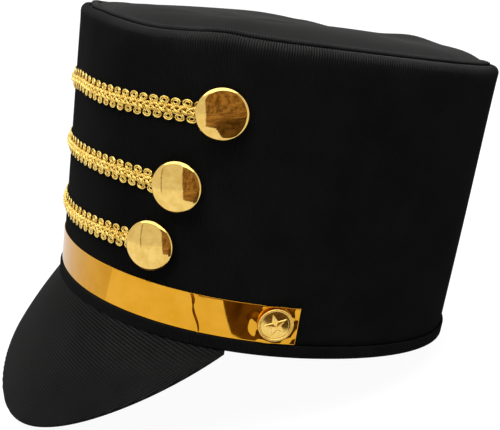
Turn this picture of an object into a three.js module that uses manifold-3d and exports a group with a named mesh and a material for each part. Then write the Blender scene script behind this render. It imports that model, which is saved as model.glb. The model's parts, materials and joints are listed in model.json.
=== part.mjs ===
// Parade shako in cloth: flared oval crown, puffed top, steep peak, gold band, three braids and eight buttons.
// Millimetres and degrees. The hat frame has the rim at z = 0, the front at -Y and the wearer's left at +X.
import * as THREE from "three";
import { mergeVertices } from "three/addons/utils/BufferGeometryUtils.js";
import Module from "manifold-3d";

// Crown wall: outer faces of an oval that flares from the rim to the top
const rimWidth = 179.4;
const rimDepth = 191;
const topWidth = 191.8;
const topDepth = 198.7;
const topForward = 2.2; // the top oval leans forward by this
const crownHeight = 128.2;
const topSlope = 0.02; // the top rises toward the back by this share of the depth
const ovalPower = 2.15; // 2 is an ellipse, more is squarer
const wallThickness = 2;
const turnIn = 4.1; // the turned-over edge reaches inward by this
const edgeRadius = 3.4;

// Where the turned-over edge stands higher: degrees from the front centre, then a share of the crown's height
const edgeWaves = [
  { angle: -33, spread: 31, lift: 0.026 },
  { angle: 150, spread: 30, lift: 0.006 },
];

// Crown tip: the puffed cloth top
const tipThickness = 1.5;
const tipPuff = 9.4;
const tipFullness = 6; // how steeply the puff rises at its seam
const seamDepth = 1; // the seam lies this far below the turned-over edge

// Broad soft creases of the tip: ends as shares of the half width and half depth, then shares of the puff
const tipCreases = [
  { fromX: -0.7, fromY: 0.25, toX: 0.55, toY: 0.45, width: 0.14, depth: 0.16 },
  { fromX: -0.35, fromY: -0.75, toX: 0.5, toY: -0.35, width: 0.13, depth: 0.14 },
  { fromX: 0.1, fromY: 0.75, toX: 0.75, toY: 0.1, width: 0.12, depth: 0.12 },
];

// Hem: the strip round the rim
const hemHeight = 5.4;
const hemThickness = 1;

// Peak
const peakLength = 65.3; // from the rim at the front centre to the edge
const peakHalfAngle = 64.3; // where its tips meet the rim
const peakDrop = 70.2; // slope below the rim's plane at the front centre
const peakTipDrop = 32; // the same at the tips
const peakTaper = 1.85; // power at which its length falls off toward the tips
const peakThickness = 2;
const peakBow = 1.6; // the peak is convex by this between rim and edge
const peakTipShare = 0.985; // the tips are cut square at this share of the half angle

// Gold band
const bandWidth = 16.4;
const bandThickness = 0.5;
const bandHalfAngle = 80.6;

// Braids and the domed buttons on their ends
const braidWidth = 9.4;
const braidThickness = 1.2;
const braidCrest = 0.7; // the plait down the middle stands up by this more
const braidPitch = 5.2; // one scallop
const braidScallop = 0.9; // the edge goes in by this between two loops
const braidUnderButton = 3.4; // the braid stops this far inside the button's edge
// Heights of the braid's middle and its button, its sag, its rise toward the button and its dip just before it:
// shares of the crown's height
const rows = [
  { name: "top", buttonAngle: 54.6, button: 0.7644, braid: 0.75, sag: 0.0156, rise: 0.0208, dip: 0.022 },
  { name: "middle", buttonAngle: 45.7, button: 0.5117, braid: 0.507, sag: 0, rise: 0.003, dip: 0.018 },
  { name: "bottom", buttonAngle: 40.1, button: 0.3011, braid: 0.277, sag: -0.003, rise: 0.0234, dip: 0 },
];
const buttonDiameter = 21.5;
const buttonEdge = 1.3; // height of the rim bead
const buttonBead = 0.8; // width of the rim bead
const buttonDome = 2.6; // rise of the dome above its rim
const shankDiameter = 6;

// Star buttons on the gold band
const starButtonDiameter = 15.2;
const starButtonInset = 5.8; // degrees from the end of the band
const starButtonRaise = 0.9; // above the middle of the band
const starButtonThickness = 1.8;
const starRim = 1.3; // width of the raised rim
const starRimRise = 0.7;
const starSpan = 10.4; // across the points of the star
const starWaist = 0.4; // inner corners as a share of the points
const starRise = 1;

// Clearances and facets
const gap = 0.3; // between pieces that touch
const aroundSteps = 64;
const bandSteps = 48;
const peakSteps = 34;
const peakRings = 5;
const tipRings = [0.25, 0.5, 0.7, 0.82, 0.91, 0.96, 1];
const edgeArcSteps = 3;
const buttonSides = 20;
const domeSteps = 4;
const starSides = 24;
const stepsPerScallop = 3;

const hemStand = gap + hemThickness;
const bandBottom = hemHeight + gap;
const starButtonHeight = bandBottom + bandWidth / 2 + starButtonRaise;
const starButtonAngle = bandHalfAngle - starButtonInset;
const bandStand = gap + bandThickness;
const braidStand = gap + braidThickness + braidCrest;
const tau = 2 * Math.PI;
const radians = THREE.MathUtils.degToRad;

function signedPower(value, power) {
  return Math.sign(value) * Math.abs(value) ** power;
}

// Height of the turned-over edge at a place along the depth of the hat
function topHeight(y) {
  return crownHeight + topSlope * y;
}

// A point of the oval at a height, with no stand-off: angle 0 is the front, a quarter turn is +X
function ovalPoint(angle, height) {
  const power = 2 / ovalPower;
  const side = signedPower(Math.sin(angle), power);
  const front = -signedPower(Math.cos(angle), power);
  const topY = (topDepth / 2) * front - topForward;
  const share = height / topHeight(topY);
  const halfWidth = THREE.MathUtils.lerp(rimWidth, topWidth, share) / 2;
  const y = THREE.MathUtils.lerp((rimDepth / 2) * front, topY, share);
  return new THREE.Vector3(halfWidth * side, y, height);
}

// The level direction that points away from the wall
function outward(angle, height) {
  const step = 1e-3;
  const along = ovalPoint(angle + step, height).sub(ovalPoint(angle - step, height));
  return new THREE.Vector3(along.y, -along.x, 0).normalize();
}

// A point beside the wall: out is the level distance from its outer face
function wallPoint(angle, height, out) {
  return ovalPoint(angle, height).addScaledVector(outward(angle, height), out);
}

// How far the waves lift the turned-over edge at an angle
function edgeLift(angle) {
  let share = 0;
  for (const wave of edgeWaves) {
    const turn = THREE.MathUtils.euclideanModulo(angle - radians(wave.angle) + Math.PI, tau) - Math.PI;
    share += wave.lift * Math.exp(-((turn / radians(wave.spread)) ** 2));
  }
  return crownHeight * share;
}

function wallTop(angle) {
  const front = -signedPower(Math.cos(angle), 2 / ovalPower);
  return topHeight((topDepth / 2) * front - topForward) + edgeLift(angle);
}

// Closed body from a list of stations, each a loop of as many points: a ring, or a bar with two ends
function loft(stations, closed) {
  const count = stations[0].length;
  const positions = stations.flat().flatMap((point) => point.toArray());
  const index = [];
  const spans = closed ? stations.length : stations.length - 1;
  for (let i = 0; i < spans; i++) {
    const here = i * count;
    const next = ((i + 1) % stations.length) * count;
    for (let j = 0; j < count; j++) {
      const k = (j + 1) % count;
      index.push(here + j, next + j, next + k, here + j, next + k, here + k);
    }
  }
  if (!closed) {
    const last = (stations.length - 1) * count;
    for (let j = 1; j < count - 1; j++) {
      index.push(0, j, j + 1, last, last + j + 1, last + j);
    }
  }
  const geometry = new THREE.BufferGeometry();
  geometry.setAttribute("position", new THREE.Float32BufferAttribute(positions, 3));
  geometry.setIndex(index);
  return geometry;
}

function anglesAround(steps) {
  return Array.from({ length: steps }, (_, i) => (tau * i) / steps);
}

// Angles at even distances along the wall, from the front centre to both sides
function anglesAlong(halfAngle, height, steps) {
  const fine = 400;
  const lengths = [0];
  for (let i = 1; i <= fine; i++) {
    const before = ovalPoint((halfAngle * (i - 1)) / fine, height);
    lengths.push(lengths[i - 1] + before.distanceTo(ovalPoint((halfAngle * i) / fine, height)));
  }
  const angles = [];
  for (let i = -steps; i <= steps; i++) {
    const wanted = (Math.abs(i) / steps) * lengths[fine];
    const k = Math.max(1, lengths.findIndex((length) => length >= wanted));
    const part = (wanted - lengths[k - 1]) / (lengths[k] - lengths[k - 1]);
    angles.push((Math.sign(i) * halfAngle * (k - 1 + part)) / fine);
  }
  return angles;
}

function crownWallGeometry() {
  const stations = anglesAround(aroundSteps).map((angle) => {
    const top = wallTop(angle);
    const loop = [wallPoint(angle, 0, 0)];
    for (let i = 0; i <= edgeArcSteps; i++) {
      const turn = (i / edgeArcSteps) * (Math.PI / 2);
      const down = edgeRadius * (1 - Math.sin(turn));
      const inset = edgeRadius * (1 - Math.cos(turn));
      loop.push(wallPoint(angle, top - down, -inset));
    }
    loop.push(wallPoint(angle, top, -turnIn));
    loop.push(wallPoint(angle, top - wallThickness, -turnIn));
    loop.push(wallPoint(angle, top - edgeRadius - wallThickness, -wallThickness));
    loop.push(wallPoint(angle, 0, -wallThickness));
    return loop;
  });
  return loft(stations, true);
}

// How far the creases push the tip down at a place, as a share of the puff
function creaseShare(x, y) {
  let share = 0;
  for (const crease of tipCreases) {
    const alongX = crease.toX - crease.fromX;
    const alongY = crease.toY - crease.fromY;
    const reach = ((x - crease.fromX) * alongX + (y - crease.fromY) * alongY) / (alongX ** 2 + alongY ** 2);
    const near = THREE.MathUtils.clamp(reach, 0, 1);
    const away = Math.hypot(x - crease.fromX - near * alongX, y - crease.fromY - near * alongY);
    share += crease.depth * Math.exp(-((away / crease.width) ** 2));
  }
  return share;
}

function crownTipGeometry() {
  const angles = anglesAround(aroundSteps);
  const centre = new THREE.Vector3(0, -topForward, 0);
  const positions = [];
  const place = (angle, ring, drop) => {
    const edge = wallPoint(angle, wallTop(angle), -turnIn - gap);
    const point = centre.clone().lerp(edge.setZ(0), ring);
    const across = (point.x - centre.x) / (topWidth / 2);
    const deep = (point.y - centre.y) / (topDepth / 2);
    const rise = tipPuff * (1 - ring ** tipFullness);
    const crease = tipPuff * creaseShare(across, deep) * (1 - ring ** 2);
    point.z = topHeight(point.y) + edgeLift(angle) * ring ** 2 - seamDepth + rise - crease - drop;
    positions.push(...point.toArray());
  };
  for (const drop of [0, tipThickness]) {
    place(0, 0, drop);
    for (const ring of tipRings) angles.forEach((angle) => place(angle, ring, drop));
  }
  const half = 1 + tipRings.length * aroundSteps;
  const index = [];
  for (let i = 0; i < aroundSteps; i++) {
    const k = (i + 1) % aroundSteps;
    index.push(0, 1 + i, 1 + k, half, half + 1 + k, half + 1 + i);
    for (let ring = 0; ring < tipRings.length - 1; ring++) {
      const inner = 1 + ring * aroundSteps;
      const outer = inner + aroundSteps;
      index.push(inner + i, outer + i, outer + k, inner + i, outer + k, inner + k);
      index.push(half + inner + i, half + outer + k, half + outer + i);
      index.push(half + inner + i, half + inner + k, half + outer + k);
    }
    const rim = 1 + (tipRings.length - 1) * aroundSteps;
    index.push(rim + i, half + rim + i, half + rim + k, rim + i, half + rim + k, rim + k);
  }
  const geometry = new THREE.BufferGeometry();
  geometry.setAttribute("position", new THREE.Float32BufferAttribute(positions, 3));
  geometry.setIndex(index);
  return geometry;
}

function hemGeometry() {
  const stations = anglesAround(aroundSteps).map((angle) => [
    wallPoint(angle, 0, hemStand),
    wallPoint(angle, hemHeight, hemStand),
    wallPoint(angle, hemHeight, gap),
    wallPoint(angle, 0, gap),
  ]);
  return loft(stations, true);
}

// A point of the peak's upper face: share 0 is at the rim, 1 at the edge
function peakPoint(angle, share, depth) {
  const turn = Math.abs(angle) / radians(peakHalfAngle);
  const slope = radians(THREE.MathUtils.lerp(peakDrop, peakTipDrop, turn ** 2));
  const length = peakLength * (1 - turn ** peakTaper);
  const out = outward(angle, 0);
  const down = new THREE.Vector3(0, 0, -Math.sin(slope)).addScaledVector(out, Math.cos(slope));
  const face = new THREE.Vector3(0, 0, Math.cos(slope)).addScaledVector(out, Math.sin(slope));
  const bow = peakBow * (length / peakLength) * 4 * share * (1 - share);
  const start = wallPoint(angle, 0, hemStand - gap).setZ(-gap);
  return start.addScaledVector(down, share * length).addScaledVector(face, bow - depth);
}

function peakGeometry() {
  const angles = anglesAlong(radians(peakHalfAngle * peakTipShare), 0, peakSteps / 2);
  const stations = angles.map((angle) => {
    const loop = [];
    for (let i = peakRings; i >= 0; i--) loop.push(peakPoint(angle, i / peakRings, 0));
    for (let i = 0; i <= peakRings; i++) {
      const under = peakPoint(angle, i / peakRings, peakThickness);
      under.z = Math.min(under.z, -gap);
      loop.push(under);
    }
    return loop;
  });
  return loft(stations, false);
}

function bandGeometry() {
  const stations = anglesAlong(radians(bandHalfAngle), bandBottom, bandSteps / 2).map((angle) => [
    wallPoint(angle, bandBottom, bandStand),
    wallPoint(angle, bandBottom + bandWidth, bandStand),
    wallPoint(angle, bandBottom + bandWidth, gap),
    wallPoint(angle, bandBottom, gap),
  ]);
  return loft(stations, false);
}

// The angle at which a length along the wall from the front centre ends
function angleAtLength(length, height) {
  const whole = anglesAlong(Math.PI, height, 400).slice(400);
  let walked = 0;
  for (let i = 1; i < whole.length; i++) {
    const step = ovalPoint(whole[i - 1], height).distanceTo(ovalPoint(whole[i], height));
    if (walked + step >= length) return THREE.MathUtils.lerp(whole[i - 1], whole[i], (length - walked) / step);
    walked += step;
  }
  return Math.PI;
}

function lengthAtAngle(angle, height) {
  const places = anglesAlong(angle, height, 200).slice(200);
  return places.slice(1).reduce((sum, place, i) => {
    return sum + ovalPoint(places[i], height).distanceTo(ovalPoint(place, height));
  }, 0);
}

function braidGeometry(row) {
  const middle = row.braid * crownHeight;
  const buttonReach = buttonDiameter / 2 - braidUnderButton;
  const halfLength = lengthAtAngle(radians(row.buttonAngle), middle) - buttonReach;
  const scallops = Math.max(1, Math.round(halfLength / braidPitch));
  const halfAngle = angleAtLength(halfLength, middle);
  const steps = scallops * stepsPerScallop;
  const stations = anglesAlong(halfAngle, middle, steps).map((angle, i) => {
    const wave = (1 - Math.cos((tau * i) / stepsPerScallop)) / 2;
    const half = braidWidth / 2 - braidScallop * (1 - wave);
    const out = Math.abs(angle) / radians(row.buttonAngle);
    const curve = row.rise * out ** 2 - row.sag * Math.sin(Math.PI * out) - row.dip * out ** 7;
    const height = middle + crownHeight * curve;
    return [
      wallPoint(angle, height - half, gap + braidThickness),
      wallPoint(angle, height, braidStand),
      wallPoint(angle, height + half, gap + braidThickness),
      wallPoint(angle, height + half, gap),
      wallPoint(angle, height - half, gap),
    ];
  });
  return loft(stations, false);
}

// Lathed round the local Z axis, from a profile of [radius, height] that starts and ends on the axis
function turned(profile, sides) {
  const points = profile.map(([radius, height]) => new THREE.Vector2(radius, height));
  const geometry = new THREE.LatheGeometry(points, sides);
  return geometry.rotateX(Math.PI / 2);
}

// Heights are measured from the crown wall; the shank goes down between the wall and the braid's end
function buttonGeometry() {
  const radius = buttonDiameter / 2;
  const back = braidStand + gap;
  const rim = back + buttonEdge;
  const inside = radius - buttonBead;
  const profile = [
    [0, gap],
    [shankDiameter / 2, gap],
    [shankDiameter / 2, back],
    [radius - buttonBead / 2, back],
    [radius, back + buttonEdge / 2],
    [radius - buttonBead / 3, rim],
    [inside, rim - buttonBead / 4],
  ];
  for (let i = 1; i <= domeSteps; i++) {
    const turn = (i / domeSteps) * (Math.PI / 2);
    profile.push([inside * Math.cos(turn), rim - buttonBead / 4 + buttonDome * Math.sin(turn)]);
  }
  profile[profile.length - 1][0] = 0;
  return turned(profile, buttonSides);
}

const wasm = await Module();
wasm.setup();

function solidOf(geometry) {
  const bare = geometry.clone();
  bare.deleteAttribute("normal");
  bare.deleteAttribute("uv");
  const merged = mergeVertices(bare, 1e-4);
  const vertProperties = new Float32Array(merged.attributes.position.array);
  const triVerts = new Uint32Array(merged.index.array);
  return new wasm.Manifold(new wasm.Mesh({ numProp: 3, vertProperties, triVerts }));
}

function geometryOf(solid) {
  const { vertProperties, triVerts } = solid.getMesh();
  const geometry = new THREE.BufferGeometry();
  geometry.setAttribute("position", new THREE.BufferAttribute(new Float32Array(vertProperties), 3));
  geometry.setIndex(new THREE.BufferAttribute(new Uint32Array(triVerts), 1));
  return geometry;
}

// Five-pointed star with a ridge to each point and corner, standing on a low base
function starGeometry(foot, rise) {
  const corners = 10;
  const outer = starSpan / 2;
  const positions = [0, 0, foot + rise, 0, 0, foot - starRimRise];
  for (const height of [foot, foot - starRimRise]) {
    for (let i = 0; i < corners; i++) {
      const radius = i % 2 ? outer * starWaist : outer;
      const turn = (tau * i) / corners;
      positions.push(radius * Math.sin(turn), radius * Math.cos(turn), height);
    }
  }
  const index = [];
  for (let i = 0; i < corners; i++) {
    const here = 2 + i;
    const next = 2 + ((i + 1) % corners);
    index.push(0, next, here, 1, here + corners, next + corners);
    index.push(here, next, next + corners, here, next + corners, here + corners);
  }
  const geometry = new THREE.BufferGeometry();
  geometry.setAttribute("position", new THREE.Float32BufferAttribute(positions, 3));
  geometry.setIndex(index);
  return geometry;
}

// Heights are measured from the crown wall, so the back lies just above the gold band
function starButtonGeometry() {
  const radius = starButtonDiameter / 2;
  const back = bandStand + gap;
  const rim = back + starButtonThickness;
  const face = rim - starRimRise;
  const disc = turned(
    [
      [0, back],
      [radius - starRimRise, back],
      [radius, back + starButtonThickness / 2],
      [radius - starRim / 3, rim],
      [radius - (2 * starRim) / 3, rim],
      [radius - starRim, face],
      [0, face],
    ],
    starSides,
  );
  return geometryOf(solidOf(disc).add(solidOf(starGeometry(face, starRise))));
}

const ribbedCloth = { color: 0x141414, roughness: 0.85, metalness: 0 };
const peakCloth = { color: 0x1f1f1f, roughness: 0.8, metalness: 0 };
const satinCloth = { color: 0x1a1a1a, roughness: 0.6, metalness: 0 };
const goldFilm = { color: 0xe0a030, roughness: 0.12, metalness: 1 };
const goldMetal = { color: 0xe8c060, roughness: 0.22, metalness: 1 };
const goldGimp = { color: 0xd8b040, roughness: 0.45, metalness: 0.6 };

const hatBody = new THREE.Group();

function addPiece(name, geometry, finish) {
  const mesh = new THREE.Mesh(geometry, new THREE.MeshStandardMaterial(finish));
  mesh.name = name;
  hatBody.add(mesh);
  return mesh;
}

// Stands a piece made round the Z axis on the wall, its own Z pointing away from the cloth
function seatOnWall(mesh, angle, height) {
  const foot = ovalPoint(angle, height);
  const reach = 1;
  const upWall = ovalPoint(angle, height + reach).sub(foot).normalize();
  const out = outward(angle, height);
  const across = new THREE.Vector3().crossVectors(upWall, out).normalize();
  const face = new THREE.Vector3().crossVectors(across, upWall);
  mesh.quaternion.setFromRotationMatrix(new THREE.Matrix4().makeBasis(across, upWall, face));
  mesh.position.copy(foot);
}

addPiece("crown_wall", crownWallGeometry(), ribbedCloth);
addPiece("crown_tip", crownTipGeometry(), satinCloth);
const hem = addPiece("hem_band", hemGeometry(), ribbedCloth);
const peak = addPiece("peak", peakGeometry(), peakCloth);
addPiece("gold_band", bandGeometry(), goldFilm);
const sides = [
  { name: "left", sign: 1 },
  { name: "right", sign: -1 },
];
for (const row of rows) {
  addPiece(`braid_${row.name}`, braidGeometry(row), goldGimp);
  for (const side of sides) {
    const button = addPiece(`button_${row.name}_${side.name}`, buttonGeometry(), goldMetal);
    seatOnWall(button, side.sign * radians(row.buttonAngle), row.button * crownHeight);
  }
}
for (const side of sides) {
  const button = addPiece(`star_button_${side.name}`, starButtonGeometry(), goldMetal);
  seatOnWall(button, side.sign * radians(starButtonAngle), starButtonHeight);
}

// Lowest point of a piece when the hat is tipped back by an angle
function lowest(mesh, tilt) {
  const position = mesh.geometry.attributes.position;
  let low = Infinity;
  for (let i = 0; i < position.count; i++) {
    low = Math.min(low, position.getZ(i) * Math.cos(tilt) - position.getY(i) * Math.sin(tilt));
  }
  return low;
}

// The hat stands on the peak's edge and the back of the hem: the tilt at which both are as low
let flat = 0;
let steep = radians(60);
for (let i = 0; i < 50; i++) {
  const middle = (flat + steep) / 2;
  if (lowest(peak, middle) < lowest(hem, middle)) flat = middle;
  else steep = middle;
}
hatBody.rotation.x = -flat;
const hat = new THREE.Group();
hat.add(hatBody);
hat.updateMatrixWorld(true);
const box = new THREE.Box3().setFromObject(hat, true);
const middle = box.getCenter(new THREE.Vector3());
hatBody.position.set(-middle.x, -middle.y, -box.min.z);
hat.updateMatrixWorld(true);

export default hat;
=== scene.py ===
import json
import math
import random

import bmesh
import bpy
import numpy as np
from mathutils import Matrix, Vector


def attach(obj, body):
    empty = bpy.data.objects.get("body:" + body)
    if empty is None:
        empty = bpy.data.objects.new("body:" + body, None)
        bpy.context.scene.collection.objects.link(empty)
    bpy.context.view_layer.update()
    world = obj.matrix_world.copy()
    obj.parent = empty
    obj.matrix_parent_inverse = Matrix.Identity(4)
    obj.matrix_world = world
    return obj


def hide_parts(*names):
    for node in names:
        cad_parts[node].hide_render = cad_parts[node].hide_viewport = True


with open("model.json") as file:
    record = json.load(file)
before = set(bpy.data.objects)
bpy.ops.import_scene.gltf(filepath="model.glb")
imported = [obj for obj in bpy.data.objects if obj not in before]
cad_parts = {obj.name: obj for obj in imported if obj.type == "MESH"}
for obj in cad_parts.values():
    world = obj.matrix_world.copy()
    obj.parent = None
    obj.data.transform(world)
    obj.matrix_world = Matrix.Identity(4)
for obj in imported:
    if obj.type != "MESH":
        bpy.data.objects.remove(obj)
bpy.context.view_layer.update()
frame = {"nodes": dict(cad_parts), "record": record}
print("frame loaded")

tau = 2 * math.pi


# The hat is worked out upright, rim flat at height 0 and front at -Y, then tipped back to the way it rests

def restingPlace():
    mount = next(m for m in frame["record"]["mounts"] if m["name"] == "rim_face")
    down = Vector(mount["axis"]).normalized()
    tip = Matrix.Rotation(-math.atan2(-down.y, -down.z), 4, "X")
    upright = [tip.inverted() @ v.co for v in frame["nodes"]["crown_wall"].data.vertices]
    rimHeight = min(p.z for p in upright)
    rimDepths = [p.y for p in upright if p.z < rimHeight + 0.0001]
    middle = (min(rimDepths) + max(rimDepths)) / 2
    return tip @ Matrix.Translation((0, middle, rimHeight))


hatPlace = restingPlace()

crown = {
    "rimWidth": 0.1794,
    "rimDepth": 0.191,
    "topWidth": 0.1918,
    "topDepth": 0.1987,
    "topForward": 0.0022,
    "height": 0.1282,
    "topSlope": 0.02,  # the top rises toward the back
    "ovalPower": 2.15,
    "wall": 0.002,
    "turnIn": 0.0041,
    "edgeRadius": 0.0034,
    "ribs": 580,
    "columnsPerRib": 4,
    "ribDepth": 0.0001,
    "edgeRibDepth": 0.00024,  # deeper where the cloth is stretched over the edge
    "softWave": 0.00009,  # slow, shallow unevenness of the stiffened cloth
    "wallShade": (0.265, 0.08),  # painted light and shade of the ribs: middle and swing between valleys and crests
    # painted light where the cloth turns over the edge: middle and swing
    "edgeShade": (0.74, 0.62),
    "litEdgeFrom": (22, 7),  # painted light: the edge is lighter from here on in degrees, and how softly that begins
    "litEdgeTo": (125, 9),
    "litEdgeLeast": 0.12,
    "shadeShare": 0.42,  # painted shade: the wall is darker by this share, most at this many degrees from the front
    "shadeAt": 27,
    "shadeWidth": 17,
    "seamDepth": 0.0004,  # centre back
    "seamWidth": 0.0009,
}

# where the edge stands higher or lower: degrees from the front centre, shares of the crown's height
edgeWaves = [
    {"angle": -33, "spread": 31, "lift": 0.026},
    {"angle": 150, "spread": 30, "lift": 0.006},
    {"angle": 85, "spread": 62, "lift": 0.0092},
    {"angle": 31, "spread": 12, "lift": -0.0105},
    {"angle": 51.5, "spread": 6, "lift": 0.006},
    {"angle": 3, "spread": 9, "lift": 0.006},
    {"angle": -16, "spread": 9, "lift": 0.009},
    {"angle": -96, "spread": 12, "lift": -0.004},
]


def signedPower(value, power):
    return np.sign(value) * np.abs(value) ** power


def ovalPoint(angle, height):
    angle, height = np.broadcast_arrays(np.asarray(angle, float), np.asarray(height, float))
    power = 2 / crown["ovalPower"]
    side = signedPower(np.sin(angle), power)
    front = -signedPower(np.cos(angle), power)
    rimY = crown["rimDepth"] / 2 * front
    topY = crown["topDepth"] / 2 * front - crown["topForward"]
    share = height / (crown["height"] + crown["topSlope"] * topY)
    halfWidth = (crown["rimWidth"] + (crown["topWidth"] - crown["rimWidth"]) * share) / 2
    return np.stack([halfWidth * side, rimY + (topY - rimY) * share, height], -1)


def outward(angle, height):
    step = 0.001
    along = ovalPoint(angle + step, height) - ovalPoint(angle - step, height)
    level = np.stack([along[..., 1], -along[..., 0], 0 * along[..., 0]], -1)
    return level / np.linalg.norm(level, axis=-1, keepdims=True)


softSeed = random.Random(5)
softWaves = [
    (softSeed.choice((1, 2, 3, 4, 5)), softSeed.uniform(10, 60), softSeed.uniform(0, tau)) for _ in range(6)
]


def softness(angle, height):
    total = 0
    for turns, rise, start in softWaves:
        total = total + np.sin(turns * angle + rise * height + start)
    return crown["softWave"] * total


def wallPoint(angle, height, out):
    out = out + softness(angle, height)
    return ovalPoint(angle, height) + outward(angle, height) * np.asarray(out)[..., None]


def edgeLift(angle):
    total = 0 * np.asarray(angle, float)
    for wave in edgeWaves:
        away = (np.asarray(angle) - math.radians(wave["angle"]) + math.pi) % tau - math.pi
        total = total + wave["lift"] * np.exp(-((away / math.radians(wave["spread"])) ** 2))
    return crown["height"] * total


def plainTop(y):
    return crown["height"] + crown["topSlope"] * y


def wallTop(angle):
    front = -signedPower(np.cos(angle), 2 / crown["ovalPower"])
    return plainTop(crown["topDepth"] / 2 * front - crown["topForward"]) + edgeLift(angle)


def evenAngles(count, height, start=-math.pi, end=math.pi, closed=True):
    fine = np.linspace(start, end, 6001)
    steps = np.linalg.norm(np.diff(ovalPoint(fine, height), axis=0), axis=1)
    walked = np.concatenate([[0], np.cumsum(steps)])
    wanted = np.linspace(0, walked[-1], count + (1 if closed else 0))
    return np.interp(wanted[:count], walked, fine)


def arcLength(angle, height):
    fine = np.linspace(0, angle, 2001)
    return np.linalg.norm(np.diff(ovalPoint(fine, height), axis=0), axis=1).sum()


# Meshes

def addPiece(name, points, faces, material, replaces=(), shade=0.5):
    place = np.array(hatPlace)
    points = np.asarray(points, float).reshape(-1, 3) @ place[:3, :3].T + place[:3, 3]
    mesh = bpy.data.meshes.new(name)
    mesh.from_pydata(points.tolist(), [], [tuple(face) for face in faces])
    shape = bmesh.new()
    shape.from_mesh(mesh)
    bmesh.ops.recalc_face_normals(shape, faces=shape.faces)
    shape.to_mesh(mesh)
    shape.free()
    mesh.polygons.foreach_set("use_smooth", [True] * len(mesh.polygons))
    # painted light and shade: small in the valleys between threads, large on their crests and where light
    # falls on the cloth
    paintedLight = mesh.attributes.new("paintedLight", "FLOAT", "POINT")
    values = np.broadcast_to(np.asarray(shade, float).ravel(), len(points))
    paintedLight.data.foreach_set("value", values.astype(np.float32))
    mesh.materials.append(material)
    piece = bpy.data.objects.new(name, mesh)
    bpy.context.scene.collection.objects.link(piece)
    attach(piece, "root")
    if replaces:
        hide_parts(*replaces)
    print("made", name, len(mesh.polygons), "faces")
    return piece


def gridFaces(rows, columns, closedRows=False, closedColumns=True, first=0):
    rowSpans = rows if closedRows else rows - 1
    columnSpans = columns if closedColumns else columns - 1
    r, c = np.meshgrid(np.arange(rowSpans), np.arange(columnSpans), indexing="ij")
    nextRow = (r + 1) % rows
    nextColumn = (c + 1) % columns
    r, nextRow = r * columns, nextRow * columns
    corners = [r + c, r + nextColumn, nextRow + nextColumn, nextRow + c]
    return (np.stack(corners, -1).reshape(-1, 4) + first).tolist()


def capFaces(rows, columns, first=0):
    # ends of a bar whose columns are its stations and whose rows go round its section
    start = [first + r * columns for r in range(rows)]
    end = [first + r * columns + columns - 1 for r in range(rows)]
    return [start[::-1], end]


# Materials

def newMaterial(name):
    material = bpy.data.materials.new(name)
    material.use_nodes = True
    nodes = material.node_tree.nodes
    return material, nodes, material.node_tree.links, nodes["Principled BSDF"]


def addNode(nodes, kind, **settings):
    node = nodes.new(kind)
    for key, value in settings.items():
        if hasattr(node, key):
            setattr(node, key, value)
        else:
            node.inputs[key].default_value = value
    return node


def ramp(nodes, stops):
    node = nodes.new("ShaderNodeValToRGB")
    elements = node.color_ramp.elements
    while len(elements) < len(stops):
        elements.new(0.5)
    for element, (place, colour) in zip(elements, stops):
        element.position = place
        element.color = (*colour, 1)
    return node


# dark and light threads, then how far the painted shade of valleys and the painted light of crests dim or
# lift them
clothLooks = {
    "ribbedCloth": {
        "dark": 0.0042,
        "light": 0.0078,
        "paintedShade": 0,
        "paintedLight": 3.2,
        "rough": 0.75,
        "sheen": 0.007,
        "shine": 0.002,
    },
    "peakCloth": {
        "dark": 0.0041,
        "light": 0.0078,
        "paintedShade": 0.35,
        "paintedLight": 1.6,
        "rough": 0.7,
        "sheen": 0.003,
        "shine": 0.01,
    },
    "satinCloth": {
        "dark": 0.0092,
        "light": 0.0124,
        "paintedShade": 0.1,
        "paintedLight": 1.6,
        "rough": 0.6,
        "sheen": 0.002,
        "shine": 0.005,
    },
}


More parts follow.
